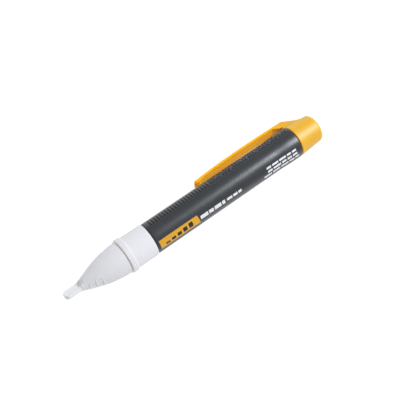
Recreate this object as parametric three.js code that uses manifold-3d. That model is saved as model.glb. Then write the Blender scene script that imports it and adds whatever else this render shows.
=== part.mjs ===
// Non-contact voltage tester: pen body, glowing nose, battery cap with pocket clip.
// Millimetres. +X runs from the sensing tip to the cap, +Z is up, the tester lies on a table.
// Dimensions are written from the front edge of the dark barrel (x = 0) and the pen's axis, and every
// piece is then moved by SHIFT so that the origin is the centre of the bounding box's base.
// The clip points to +Y and CLIP_DROP below level, so its far corner comes close to the table.
import * as THREE from 'three';
import { mergeVertices } from 'three/addons/utils/BufferGeometryUtils.js';
import Module from 'manifold-3d';

const wasm = await Module();
wasm.setup();

// ---------------------------------------------------------------- driving dimensions
const SEG = 72;                 // facets round the large turned pieces
const GAP = 0.3;                // working clearance between neighbouring pieces

// nose
const TIP_X = -47.15;           // end of the sensing blade
const BLADE_W = 4.5;            // blade width
const BLADE_T = 2.2;            // blade thickness
const BLADE_ANGLE = 50;         // blade normal, degrees from +Z toward +Y
const BLADE_GROOVE = 0.3;       // depth of the shallow recess in each broad face
const OGIVE_X0 = -36.1;         // crease where the blade root meets the ogive
const NOSE_X1 = -15.6;          // rear edge of the ogive
const RING_R = 8.9;             // stop ring
const RING_X0 = -14.9, RING_X1 = -11.7;
const COLLAR_R0 = 8.34, COLLAR_R1 = 8.26;
const COLLAR_BORE = 6.9;
const SPIGOT_R = 6.3, SPIGOT_BORE = 5.6, SPIGOT_X1 = 5.6;

// barrel
const BARREL_R = 7.96;
const BARREL_X0 = 0.15, BARREL_X1 = 87.95;
const FLARE_X = 74.0, FLARE_R = 8.24;
const BORE_R = 6.6;
const NECK_R = 6.8, NECK_X1 = 94.6, NECK_BORE = 5.6;
const RIB_W = 1.2;

// cap
const CAP_X0 = 88.25, CAP_X1 = 102.6;
const CAP_R0 = 8.25, CAP_R1 = 7.15;
const CAP_BORE = 7.1, CAP_STEP_X = 96.2;
const CAP_POCKET = 5.4, CAP_POCKET_X1 = 100.3;

// pocket clip
const CLIP_DROP = 27.5;         // degrees below level
const CLIP_W = 6.6, CLIP_TIP_W = 5.8;
const CLIP_T = 1.15;
const CLIP_TIP_X = 34.5;
const CLIP_H_TIP = 10.95;       // outer face above the axis at the tip
const CLIP_H_CURVE = 12.6;      // control height of the bow
const CLIP_H_ROOT = 11.6;       // outer face above the axis at the web's corner
const CLIP_SPLIT_X = 84.2;      // flexing line
const WEB_CORNER_X = 90.4;
const WEB_SLOPE = [[94.1, 9.35], [96.1, 8.25], [99.0, 6.7]];   // sloping back of the web, down into the cap

// cells (two in line)
const CELL_R = 5.25, CELL_L = 44.5, CELL_NUB_R = 1.9, CELL_NUB_L = 0.9;
const CELL1_X0 = 2.0;
const CELL2_X0 = CELL1_X0 + CELL_L + GAP;

// return strip
const STRIP_R = 5.55, STRIP_T = 0.3, STRIP_W = 2.4;
const STRIP_ANGLE = 200;        // degrees about X, from +Z toward +Y

// circuit board
const BOARD_X0 = -32.5, BOARD_X1 = -5.0, BOARD_T = 1.0;

// origin: centre of the base of the bounding box
const SHIFT = [-(TIP_X + CAP_X1) / 2, -1.6238, RING_R];

// ---------------------------------------------------------------- helpers
const D2R = Math.PI / 180;

function clean(geometry) {
  const g = geometry.index ? geometry : geometry.clone();
  g.deleteAttribute('normal');
  g.deleteAttribute('uv');
  return mergeVertices(g, 1e-3);
}
function toManifold(geometry) {
  const g = clean(geometry);
  const mesh = new wasm.Mesh({
    numProp: 3,
    vertProperties: new Float32Array(g.attributes.position.array),
    triVerts: new Uint32Array(g.index.array),
  });
  return new wasm.Manifold(mesh);
}
function fromManifold(solid) {
  const mesh = solid.getMesh();
  const g = new THREE.BufferGeometry();
  g.setAttribute('position', new THREE.BufferAttribute(new Float32Array(mesh.vertProperties), 3));
  g.setIndex(new THREE.BufferAttribute(new Uint32Array(mesh.triVerts), 1));
  g.computeVertexNormals();
  return g;
}
const union = (...list) => list.reduce((a, b) => a.add(b));
const cut = (a, ...list) => list.reduce((s, b) => s.subtract(b), a);

// Turned solid about X. profile: list of [x, r], starting and ending on the axis or closing on itself.
function turned(profile, segments = SEG) {
  let area = 0;
  for (let i = 0; i < profile.length; i++) {
    const [x0, r0] = profile[i];
    const [x1, r1] = profile[(i + 1) % profile.length];
    area += x0 * r1 - x1 * r0;
  }
  const list = area > 0 ? [...profile].reverse() : profile;
  const points = list.map(([x, r]) => new THREE.Vector2(r, x));
  const g = new THREE.LatheGeometry(points, segments);
  g.rotateZ(-Math.PI / 2);
  return g;
}
function tube(x0, x1, rOut, rIn, segments = SEG) {
  return turned([[x0, rIn], [x0, rOut], [x1, rOut], [x1, rIn], [x0, rIn]], segments);
}
function rod(x0, x1, r, segments = SEG) {
  return turned([[x0, 0], [x0, r], [x1, r], [x1, 0]], segments);
}
function box(x0, x1, y0, y1, z0, z1) {
  const g = new THREE.BoxGeometry(x1 - x0, y1 - y0, z1 - z0);
  g.translate((x0 + x1) / 2, (y0 + y1) / 2, (z0 + z1) / 2);
  return g;
}
// Turn a shape built with its own up along +Z so that up points at ANGLE from +Z toward +Y.
const aim = (g, degrees) => g.rotateX(-degrees * D2R);

// Flat outline in (x, y) extruded along z, centred on z = 0.
function slab(points, z0, z1) {
  const shape = new THREE.Shape(points.map(([x, y]) => new THREE.Vector2(x, y)));
  const g = new THREE.ExtrudeGeometry(shape, { depth: z1 - z0, bevelEnabled: false, curveSegments: 12 });
  g.translate(0, 0, z0);
  return g;
}
function roundedOutline(points, radius, steps = 6) {
  const out = [];
  const n = points.length;
  for (let i = 0; i < n; i++) {
    const p0 = points[(i + n - 1) % n], p1 = points[i], p2 = points[(i + 1) % n];
    const r = Array.isArray(radius) ? radius[i] : radius;
    if (!r) { out.push(p1); continue; }
    const a = new THREE.Vector2(p0[0] - p1[0], p0[1] - p1[1]).normalize();
    const b = new THREE.Vector2(p2[0] - p1[0], p2[1] - p1[1]).normalize();
    const half = Math.acos(THREE.MathUtils.clamp(a.dot(b), -1, 1)) / 2;
    const t = r / Math.tan(half);
    const c = a.clone().add(b).normalize().multiplyScalar(r / Math.sin(half));
    const start = new THREE.Vector2(p1[0], p1[1]).addScaledVector(a, t);
    const end = new THREE.Vector2(p1[0], p1[1]).addScaledVector(b, t);
    const cx = p1[0] + c.x, cy = p1[1] + c.y;
    let a0 = Math.atan2(start.y - cy, start.x - cx), a1 = Math.atan2(end.y - cy, end.x - cx);
    let d = a1 - a0;
    while (d > Math.PI) d -= 2 * Math.PI;
    while (d < -Math.PI) d += 2 * Math.PI;
    for (let k = 0; k <= steps; k++) {
      const th = a0 + (d * k) / steps;
      out.push([cx + r * Math.cos(th), cy + r * Math.sin(th)]);
    }
  }
  return out;
}
// Side profile in (x, h) extruded across the width, then pointed along the clip direction.
function clipSlab(points, width) {
  const g = slab(points, -width / 2, width / 2);   // (x, h, across)
  g.rotateX(Math.PI / 2);                           // h -> z, across -> -y
  return aim(g, 90 + CLIP_DROP);
}

const group = new THREE.Group();
function add(name, geometry, colour, roughness, metalness) {
  const g = geometry.isBufferGeometry ? geometry : fromManifold(geometry);
  g.translate(...SHIFT);
  const mesh = new THREE.Mesh(g, new THREE.MeshStandardMaterial({ color: colour, roughness, metalness }));
  mesh.name = name;
  group.add(mesh);
  return mesh;
}

// ---------------------------------------------------------------- nose
const OGIVE = [
  [OGIVE_X0 + 0.2, 3.42], [-34.2, 4.12], [-32.8, 4.6], [-31.3, 5.14], [-29.9, 5.62], [-28.4, 6.08],
  [-27.0, 6.47], [-25.5, 6.84], [-24.1, 7.12], [-22.6, 7.38], [-21.2, 7.6], [-19.7, 7.79],
  [-18.3, 7.95], [-16.8, 8.1], [NOSE_X1 - 0.25, 8.19], [NOSE_X1, 8.0],
];
{
  const skin = toManifold(turned([
    [-40.9, 0], [-40.9, 0.75], [-40.0, 1.2], [-39.4, 1.65], [-38.8, 2.2], [-38.2, 2.62], [-37.6, 2.92],
    [-36.9, 3.2], [OGIVE_X0 - 0.12, 3.42], [OGIVE_X0 - 0.02, 3.22], [OGIVE_X0 + 0.1, 3.22],
    ...OGIVE,
    [NOSE_X1, 6.6], [-10.6, 6.6], [-10.3, 6.35], [-10.3, 0],
  ], 60));
  // blade: stadium outline with a rounded end, edges eased by a bevel
  const bevel = 0.35;
  const shape = new THREE.Shape();
  const r = BLADE_W / 2 - bevel;
  shape.moveTo(-37.0, -r);
  shape.lineTo(-37.0, r);
  shape.lineTo(TIP_X + bevel + r, r);
  shape.absarc(TIP_X + bevel + r, 0, r, Math.PI / 2, Math.PI * 1.5, false);
  shape.lineTo(-37.0, -r);
  let blade = new THREE.ExtrudeGeometry(shape, {
    depth: BLADE_T - 2 * bevel, bevelEnabled: true, bevelThickness: bevel, bevelSize: bevel,
    bevelSegments: 4, curveSegments: 18,
  });
  blade.translate(0, 0, -(BLADE_T - 2 * bevel) / 2);
  const bladeSolid = toManifold(aim(blade, BLADE_ANGLE));
  let nose = union(skin, bladeSolid);
  // shallow recess in each broad face and the deeper pocket at the root
  for (const side of [0, 180]) {
    const groove = roundedOutline([[TIP_X + 1, -1.5], [TIP_X + 1, 1.5], [-37.2, 1.5], [-37.2, -1.5]], [1.45, 1.45, 0, 0]);
    nose = nose.subtract(toManifold(aim(slab(groove, BLADE_T / 2 - BLADE_GROOVE, 6), BLADE_ANGLE + side)));
    const pocket = roundedOutline([[-40.3, -1.35], [-40.3, 1.35], [-36.9, 1.35], [-36.9, -1.35]], [1.1, 1.1, 0.5, 0.5]);
    nose = nose.subtract(toManifold(aim(slab(pocket, 0.78, 6), BLADE_ANGLE + side)));
  }
  // inside: slot for the antenna and the room for the board
  const slot = toManifold(aim(box(TIP_X + 1.4, -33.0, -1.2, 1.2, -0.45, 0.45), BLADE_ANGLE));
  const room = toManifold(turned([
    [-34.4, 0], [-34.4, 2.6], [-32.8, 3.3], [-29.9, 4.35], [-27.0, 5.2], [-24.1, 5.85], [-21.2, 6.05], [-9, 6.05], [-9, 0],
  ], 48));
  nose = cut(nose, slot, room);
  // raised plain frame moulded on the ogive beside the parting line
  const frameOut = roundedOutline([[-34.6, -1.6], [-34.6, 1.6], [-29.2, 2.4], [-29.2, -2.4]], 0.7);
  const frameIn = roundedOutline([[-34.1, -1.15], [-34.1, 1.15], [-29.7, 1.9], [-29.7, -1.9]], 0.4);
  const frame = toManifold(aim(slab(frameOut, 2.6, 7.2), BLADE_ANGLE - 90))
    .subtract(toManifold(aim(slab(frameIn, 2.0, 8.0), BLADE_ANGLE - 90)));
  const lift = toManifold(turned([
    [-36.0, 2.2], [-36.0, 3.6], [-34.2, 4.32], [-32.8, 4.82], [-31.3, 5.36], [-29.9, 5.84], [-28.4, 6.3],
    [-28.4, 4.6], [-36.0, 2.2],
  ], 60));
  nose = nose.add(frame.intersect(lift).subtract(room));
  add('nose_tip', nose, 0xe9edf2, 0.4, 0.0);
}
{
  let collar = toManifold(turned([
    [RING_X0, COLLAR_BORE], [RING_X0, RING_R - 0.5], [RING_X0 + 0.15, RING_R - 0.2], [RING_X0 + 0.5, RING_R],
    [RING_X1 - 1.0, RING_R], [RING_X1 - 0.4, RING_R - 0.15], [RING_X1, COLLAR_R0],
    [-0.45, COLLAR_R1], [-0.15, 8.05], [-0.15, SPIGOT_R], [SPIGOT_X1 - 0.3, SPIGOT_R], [SPIGOT_X1, SPIGOT_R - 0.25],
    [SPIGOT_X1, SPIGOT_BORE], [-1.5, SPIGOT_BORE], [-1.5, COLLAR_BORE], [RING_X0, COLLAR_BORE],
  ]));
  // parting nub on the ring and the keyway for the return strip
  collar = collar.subtract(toManifold(aim(box(-14.3, -13.3, -0.45, 0.45, RING_R - 0.25, RING_R + 0.7), BLADE_ANGLE - 90)));
  collar = collar.subtract(toManifold(aim(box(-3.0, 7.0, -1.6, 1.6, 4.0, 6.2), STRIP_ANGLE)));
  add('nose_collar', collar, 0xe6eaef, 0.42, 0.0);
}

// ---------------------------------------------------------------- barrel
{
  let barrel = toManifold(turned([
    [BARREL_X0, BORE_R], [BARREL_X0, BARREL_R - 0.25], [BARREL_X0 + 0.25, BARREL_R],
    [FLARE_X, BARREL_R], [FLARE_X + 3, BARREL_R + 0.07], [FLARE_X + 6, FLARE_R - 0.07], [FLARE_X + 9, FLARE_R],
    [BARREL_X1 - 0.45, FLARE_R], [BARREL_X1 - 0.1, FLARE_R - 0.18], [BARREL_X1, FLARE_R - 0.5],
    [BARREL_X1, NECK_R], [NECK_X1 - 0.4, NECK_R], [NECK_X1, NECK_R - 0.35],
    [NECK_X1, NECK_BORE], [86.2, NECK_BORE], [86.2, BORE_R], [BARREL_X0, BORE_R],
  ]));
  for (const a of [30, 110, 290]) {
    barrel = barrel.add(toManifold(aim(box(6.2, 87.0, -RIB_W / 2, RIB_W / 2, 5.6, 7.2), a)));
  }
  barrel = barrel.subtract(toManifold(aim(box(84.0, 96.0, -1.5, 1.5, 4.0, 6.2), STRIP_ANGLE)));
  add('barrel', barrel, 0x43464b, 0.5, 0.0);
}

// ---------------------------------------------------------------- cap and clip
const capProfile = [
  [CAP_X0, CAP_BORE], [CAP_X0, CAP_R0 - 0.3], [CAP_X0 + 0.3, CAP_R0], [90.0, 8.08], [92.5, 7.9], [96.0, 7.66],
  [99.0, 7.46], [100.6, 7.31], [101.6, 7.12], [102.15, 6.82], [102.48, 6.35], [CAP_X1, 5.8],
  [CAP_X1, 0], [CAP_POCKET_X1, 0], [CAP_POCKET_X1, CAP_POCKET], [CAP_STEP_X, CAP_POCKET], [CAP_STEP_X, CAP_BORE], [CAP_X0, CAP_BORE],
];
function clipOuter(x) {            // outer face height along the arm
  const t = (x - CLIP_TIP_X) / (WEB_CORNER_X - CLIP_TIP_X);
  return CLIP_H_TIP * (1 - t) * (1 - t) + 2 * (1 - t) * t * CLIP_H_CURVE + CLIP_H_ROOT * t * t;
}
{
  const list = capProfile;
  const points = list.map(([x, r]) => new THREE.Vector2(r, x));
  const g = new THREE.LatheGeometry(points, SEG);
  g.rotateZ(-Math.PI / 2);
  let cap = toManifold(g);
  if (cap.volume() < 0) throw new Error('cap profile runs the wrong way');
  const inner = clipOuter(CLIP_SPLIT_X) - CLIP_T;
  const webSide = roundedOutline([
    [CLIP_SPLIT_X + GAP / 2, inner], [CLIP_SPLIT_X + GAP / 2, clipOuter(CLIP_SPLIT_X)],
    [WEB_CORNER_X, CLIP_H_ROOT], ...WEB_SLOPE, [WEB_SLOPE[2][0], 6.4], [CAP_X0, 6.4], [CAP_X0, 8.75], [87.4, 8.75],
  ], [0, 0, 1.3, 0, 0, 0, 0, 0, 0.2, 0.5]);
  const web = toManifold(clipSlab(webSide, CLIP_W)).subtract(toManifold(rod(80, CAP_STEP_X, CAP_BORE)))
    .subtract(toManifold(rod(CAP_STEP_X - 1, CAP_X1, 6.9)));
  add('end_cap', cap.add(web), 0xecb72a, 0.38, 0.0);
}
{
  // arm: bowed strip with a rounded, slightly narrower free end and a low bead facing the barrel
  const outer = [], innerLine = [];
  const n = 22;
  for (let i = 0; i <= n; i++) {
    const x = CLIP_TIP_X + 0.5 + ((CLIP_SPLIT_X - GAP / 2 - CLIP_TIP_X - 0.5) * i) / n;
    outer.push([x, clipOuter(x)]);
    innerLine.push([x, clipOuter(x) - CLIP_T]);
  }
  const side = [
    [CLIP_TIP_X, clipOuter(CLIP_TIP_X) - 0.75], [CLIP_TIP_X + 0.15, clipOuter(CLIP_TIP_X) - 0.25], ...outer,
    ...innerLine.reverse().filter(([x]) => x > CLIP_TIP_X + 5),
    [CLIP_TIP_X + 4.2, clipOuter(CLIP_TIP_X + 4.2) - CLIP_T - 0.1], [CLIP_TIP_X + 3.0, clipOuter(CLIP_TIP_X + 3) - CLIP_T - 0.5],
    [CLIP_TIP_X + 1.9, clipOuter(CLIP_TIP_X + 1.9) - CLIP_T - 0.62], [CLIP_TIP_X + 0.8, clipOuter(CLIP_TIP_X + 0.8) - CLIP_T - 0.42],
    [CLIP_TIP_X + 0.2, clipOuter(CLIP_TIP_X) - CLIP_T + 0.05],
  ];
  const strip = toManifold(clipSlab(side, CLIP_W + 1));
  // plan outline seen from outside the arm
  const half = CLIP_W / 2, ht = CLIP_TIP_W / 2;
  const plan = roundedOutline([
    [CLIP_TIP_X - 0.01, -ht], [CLIP_TIP_X - 0.01, ht], [CLIP_TIP_X + 16, half], [90, half], [90, -half], [CLIP_TIP_X + 16, -half],
  ], [1.5, 1.5, 0, 0, 0, 0]);
  const planSolid = toManifold(aim(slab(plan, 5, 16), 90 + CLIP_DROP));
  add('pocket_clip', strip.intersect(planSolid), 0xecb72a, 0.38, 0.0);
}

// ---------------------------------------------------------------- electronics
const BOARD_ANGLE = BLADE_ANGLE;
{
  // board lies in the plane of the blade, just behind the axis
  const outline = [
    [BOARD_X0, -2.6], [BOARD_X0, 2.6], [-27.0, 4.0], [-22.5, 5.2], [BOARD_X1, 5.2], [BOARD_X1, -5.2], [-22.5, -5.2], [-27.0, -4.0],
  ];
  const g = slab(outline, -1.6 - BOARD_T / 2, -1.6 + BOARD_T / 2);
  add('circuit_board', toManifold(aim(g, BOARD_ANGLE)), 0x1f6b3a, 0.5, 0.0);
}
const BT = -1.6 + BOARD_T / 2 + GAP;     // component side
const BB = -1.6 - BOARD_T / 2 - GAP;     // solder side
{
  // carrier: bulkhead with a boss for the front contact and two rails for the board edges
  let carrier = toManifold(turned([
    [-3.6, 0], [-3.6, 6.55], [-1.85, 6.55], [-1.85, 5.2], [0.85, 5.2], [0.85, 0],
  ]));
  for (const s of [-1, 1]) {
    const y0 = s > 0 ? 4.35 : -5.75, y1 = s > 0 ? 5.75 : -4.35;
    let rail = toManifold(aim(box(-9.9, -3.0, y0, y1, -3.1, -0.1), BOARD_ANGLE));
    rail = rail.subtract(toManifold(aim(box(-13, -4.3, -5.5, 5.5, -1.6 - BOARD_T / 2 - GAP, -1.6 + BOARD_T / 2 + GAP), BOARD_ANGLE)));
    carrier = carrier.add(rail);
  }
  carrier = carrier.intersect(toManifold(rod(-13, 2, 6.55)));
  // passage for the contact leg and the return strip
  carrier = carrier.subtract(toManifold(aim(box(-5, 2, -1.3, 1.3, -0.65, 0.55), BOARD_ANGLE)));
  carrier = carrier.subtract(toManifold(aim(box(-5, 2, -1.6, 1.6, 4.9, 7.5), STRIP_ANGLE)));
  add('board_carrier', carrier, 0x2a2c30, 0.6, 0.0);
}
{
  // front contact: dished disc on a folded leg
  const disc = toManifold(turned([[1.15, 0], [1.15, 3.6], [1.45, 3.6], [1.45, 2.2], [1.65, 1.5], [1.65, 0]], 40));
  const leg = toManifold(aim(box(-7.0, 1.3, -0.9, 0.9, -0.3, 0.1), BOARD_ANGLE));
  add('front_contact', disc.add(leg), 0xc9cdd1, 0.3, 0.9);
}
{
  // return strip down the bore with a foot over the neck end and a solder tail at the board
  let strip = toManifold(aim(box(-4.4, 95.2, -STRIP_W / 2, STRIP_W / 2, STRIP_R, STRIP_R + STRIP_T), STRIP_ANGLE));
  strip = strip.add(toManifold(aim(box(94.9, 95.2, -STRIP_W / 2, STRIP_W / 2, STRIP_R, 6.7), STRIP_ANGLE)));
  strip = strip.add(toManifold(aim(box(-4.4, -4.1, -STRIP_W / 2, STRIP_W / 2, 3.4, STRIP_R + STRIP_T), STRIP_ANGLE)));
  add('return_strip', strip, 0xc8ccd0, 0.32, 0.9);
}
{
  // antenna: thin strip in the blade slot
  const o = roundedOutline([[TIP_X + 1.9, -0.85], [TIP_X + 1.9, 0.85], [-33.4, 0.85], [-33.4, -0.85]], [0.8, 0.8, 0.1, 0.1]);
  add('antenna_plate', toManifold(aim(slab(o, -0.13, 0.13), BLADE_ANGLE)), 0xb87333, 0.35, 0.9);
}
{
  // antenna lead: short wire from the plate down to the board
  const path = new THREE.CatmullRomCurve3([
    new THREE.Vector3(-32.9, 0, 0), new THREE.Vector3(-31.9, 0.1, 0.1), new THREE.Vector3(-31.0, 0.5, -0.1), new THREE.Vector3(-30.4, 0.9, BT + 0.25),
  ]);
  const ring = new THREE.Shape();
  ring.absarc(0, 0, 0.22, 0, Math.PI * 2, false);
  const wire = new THREE.ExtrudeGeometry(ring, { steps: 12, curveSegments: 5, extrudePath: path, bevelEnabled: false });
  add('antenna_lead', toManifold(aim(wire, BLADE_ANGLE)), 0xb87333, 0.35, 0.9);
}
{
  // indicator: 3 mm lamp lying on the board, dome toward the tip
  const lamp = turned([
    [-29.6, 0], [-29.5, 0.45], [-29.2, 0.9], [-28.7, 1.25], [-28.1, 1.45], [-27.5, 1.5], [-25.3, 1.5], [-25.3, 1.75], [-24.6, 1.75], [-24.6, 0],
  ], 32);
  lamp.translate(0, 0, BT + 1.8);
  add('indicator_lamp', toManifold(aim(lamp, BOARD_ANGLE)), 0xd23a32, 0.2, 0.0);
  for (const [name, y] of [['lamp_lead_a', -0.85], ['lamp_lead_b', 0.85]]) {
    let lead = toManifold(aim(box(-24.3, -21.4, y - 0.22, y + 0.22, BT + 1.6, BT + 2.04), BOARD_ANGLE));
    lead = lead.add(toManifold(aim(box(-21.84, -21.4, y - 0.22, y + 0.22, BT, BT + 2.04), BOARD_ANGLE)));
    add(name, lead, 0xc9cdd1, 0.3, 0.9);
  }
}
{
  // detector chip with its legs as one moulded part
  const CY = -0.6;                          // chip sits off the board's centre line
  let chip = toManifold(aim(box(-19.6, -11.2, CY - 1.9, CY + 1.9, BT + 0.25, BT + 1.75), BOARD_ANGLE));
  for (let i = 0; i < 6; i++) {
    const x = -18.9 + i * 1.27;
    for (const s of [-1, 1]) {
      const y0 = CY + (s > 0 ? 1.7 : -3.0), y1 = CY + (s > 0 ? 3.0 : -1.7);
      chip = chip.add(toManifold(aim(box(x, x + 0.42, y0, y1, BT + 0.75, BT + 0.95), BOARD_ANGLE)));
      const f0 = CY + (s > 0 ? 2.8 : -3.4), f1 = CY + (s > 0 ? 3.4 : -2.8);
      chip = chip.add(toManifold(aim(box(x, x + 0.42, f0, f1, BT, BT + 0.95), BOARD_ANGLE)));
    }
  }
  add('detector_chip', chip, 0x17181a, 0.5, 0.0);
}
{
  const body = toManifold(aim(box(-23.9, -21.6, -3.6, -1.9, BT, BT + 1.1), BOARD_ANGLE));
  add('lamp_driver', body, 0x1b1c1e, 0.5, 0.0);
}
{
  const body = toManifold(aim((() => {
    const g = turned([[-2.6, 0], [-2.6, 0.75], [-2.3, 0.95], [-1.7, 0.95], [-1.4, 0.8], [1.4, 0.8], [1.7, 0.95], [2.3, 0.95], [2.6, 0.75], [2.6, 0]], 24);
    g.translate(-15.4, 4.3, BT + 1.0);
    return g;
  })(), BOARD_ANGLE));
  add('sense_resistor', body.intersect(toManifold(rod(-40, 0, 5.9))), 0xc9b48a, 0.5, 0.0);
}
{
  const body = toManifold(aim(box(-23.9, -22.0, 1.9, 3.1, BT, BT + 0.7), BOARD_ANGLE));
  add('lamp_resistor', body, 0x222325, 0.45, 0.0);
}
{
  // filter capacitor: small can on the solder side
  const g = new THREE.CylinderGeometry(1.9, 1.9, 1.9, 32);
  g.rotateX(Math.PI / 2);
  g.translate(-18.5, 0, BB - 0.95);
  add('filter_capacitor', toManifold(aim(g, BOARD_ANGLE)), 0x9aa1a8, 0.35, 0.8);
}

// ---------------------------------------------------------------- cells
for (const [tag, x0] of [['front', CELL1_X0], ['rear', CELL2_X0]]) {
  const x1 = x0 + CELL_L;
  const rc = CELL_R - 0.45;
  add(`${tag}_cell_can`, toManifold(turned([
    [x0, 0], [x0, CELL_NUB_R - 0.15], [x0 + 0.15, CELL_NUB_R], [x0 + CELL_NUB_L, CELL_NUB_R], [x0 + CELL_NUB_L, rc - 0.4], [x0 + CELL_NUB_L + 0.35, rc],
    [x1 - 0.5, rc], [x1 - 0.5, rc - 0.5], [x1, rc - 0.9], [x1, 0],
  ], 48)), 0xb9bdc1, 0.3, 0.9);
  add(`${tag}_cell_jacket`, toManifold(turned([
    [x0 + CELL_NUB_L + 0.5, rc + 0.12], [x0 + CELL_NUB_L + 0.5, CELL_R - 0.05], [x0 + CELL_NUB_L + 0.75, CELL_R], [x1 - 1.0, CELL_R], [x1 - 0.7, CELL_R - 0.1],
    [x1 - 0.7, rc + 0.12], [x0 + CELL_NUB_L + 0.5, rc + 0.12],
  ], 48)), tag === 'front' ? 0x3c4654 : 0x3c4654, 0.35, 0.1);
}

// ---------------------------------------------------------------- spring and plate in the cap
const SPRING_X0 = 91.6, SPRING_X1 = 95.2;
{
  class Coil extends THREE.Curve {
    getPoint(t, target = new THREE.Vector3()) {
      const turns = 3.6;
      const a = t * turns * Math.PI * 2;
      const wire = 0.3;
      let x;
      if (t < 0.12) x = SPRING_X0 + wire;
      else if (t > 0.86) x = SPRING_X1 - wire;
      else x = SPRING_X0 + wire + (SPRING_X1 - SPRING_X0 - 2 * wire) * ((t - 0.12) / 0.74);
      const rr = 1.9 + 2.6 * t;
      return target.set(x, rr * Math.cos(a), rr * Math.sin(a));
    }
  }
  const ring = new THREE.Shape();
  ring.absarc(0, 0, 0.27, 0, Math.PI * 2, false);
  const g = new THREE.ExtrudeGeometry(ring, { steps: 110, curveSegments: 5, extrudePath: new Coil(), bevelEnabled: false });
  add('battery_spring', toManifold(g), 0xc4c8cc, 0.28, 0.95);
}
{
  add('spring_plate', toManifold(turned([
    [95.5, 0], [95.5, 6.5], [95.9, 6.5], [95.9, 0],
  ], 48)), 0xc9cdd1, 0.3, 0.9);
}

export default group;
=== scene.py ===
import bpy, math
import numpy as np
from mathutils import Vector, Matrix


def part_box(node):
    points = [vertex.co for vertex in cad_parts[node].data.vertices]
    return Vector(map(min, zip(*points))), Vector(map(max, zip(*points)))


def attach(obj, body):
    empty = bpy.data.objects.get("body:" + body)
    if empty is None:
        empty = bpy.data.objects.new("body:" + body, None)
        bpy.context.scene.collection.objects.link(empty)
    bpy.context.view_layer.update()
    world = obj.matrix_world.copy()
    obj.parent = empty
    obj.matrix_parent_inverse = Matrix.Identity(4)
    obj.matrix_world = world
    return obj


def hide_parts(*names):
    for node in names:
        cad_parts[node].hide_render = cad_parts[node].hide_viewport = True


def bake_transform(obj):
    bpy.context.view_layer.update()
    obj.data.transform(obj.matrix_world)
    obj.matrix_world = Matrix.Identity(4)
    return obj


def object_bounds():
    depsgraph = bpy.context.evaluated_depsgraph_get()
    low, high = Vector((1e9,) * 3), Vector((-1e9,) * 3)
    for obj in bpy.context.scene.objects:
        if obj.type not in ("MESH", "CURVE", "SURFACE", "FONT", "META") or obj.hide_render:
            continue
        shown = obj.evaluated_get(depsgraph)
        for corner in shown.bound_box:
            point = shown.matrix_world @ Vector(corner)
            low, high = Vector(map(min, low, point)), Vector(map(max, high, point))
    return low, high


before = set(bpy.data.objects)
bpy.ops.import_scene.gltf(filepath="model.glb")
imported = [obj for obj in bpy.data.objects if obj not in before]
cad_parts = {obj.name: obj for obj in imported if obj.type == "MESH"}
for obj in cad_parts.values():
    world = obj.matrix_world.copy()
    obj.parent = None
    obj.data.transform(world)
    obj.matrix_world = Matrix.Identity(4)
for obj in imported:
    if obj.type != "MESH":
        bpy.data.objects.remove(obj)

cad_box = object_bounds()
MM = 0.001
_bl, _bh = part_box("barrel")
AY, AZ = (_bl.y + _bh.y) / 2, (_bl.z + _bh.z) / 2      # the pen's axis
X0 = _bl.x - 0.15 * MM                                   # front edge of the dark barrel
FLOOR_Z = cad_box[0][2]


def W(p):
    """Points in millimetres from the barrel's front edge and the axis, as row-frame metres."""
    p = np.asarray(p, float)
    return p * MM + np.array([X0, AY, AZ])


def yz(angle, r):
    """(y, z) at radius r; angle in degrees from +Z toward +Y."""
    a = np.radians(angle)
    return r * np.sin(a), r * np.cos(a)


# ------------------------------------------------------------------ mesh tools
def make_mesh(name, verts, faces, smooth=True, sharp=None):
    me = bpy.data.meshes.new(name)
    me.from_pydata([tuple(v) for v in verts], [], [tuple(int(i) for i in f) for f in faces])
    me.validate()
    me.update()
    ob = bpy.data.objects.new(name, me)
    bpy.context.scene.collection.objects.link(ob)
    if smooth:
        me.polygons.foreach_set("use_smooth", np.ones(len(me.polygons), bool))
        if sharp:
            me.set_sharp_from_angle(angle=math.radians(sharp))
    return ob


def fix_normals(ob):
    import bmesh
    bm = bmesh.new()
    bm.from_mesh(ob.data)
    bmesh.ops.recalc_face_normals(bm, faces=bm.faces)
    bm.to_mesh(ob.data)
    bm.free()
    return ob


def ring_mesh(name, rings, start_pole=None, end_pole=None, loop=False, sharp=40):
    """rings: (n, m, 3) in row metres, each ring closed."""
    rings = np.asarray(rings)
    n, m, _ = rings.shape
    verts = list(rings.reshape(-1, 3))
    faces = []
    for i in range(n if loop else n - 1):
        a, b = i * m, ((i + 1) % n) * m
        for j in range(m):
            k = (j + 1) % m
            faces.append((a + j, a + k, b + k, b + j))
    if start_pole is not None:
        verts.append(start_pole)
        s = len(verts) - 1
        faces += [(s, (j + 1) % m, j) for j in range(m)]
    if end_pole is not None:
        verts.append(end_pole)
        s = len(verts) - 1
        b = (n - 1) * m
        faces += [(s, b + j, b + (j + 1) % m) for j in range(m)]
    return fix_normals(make_mesh(name, verts, faces, sharp=sharp))


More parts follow.
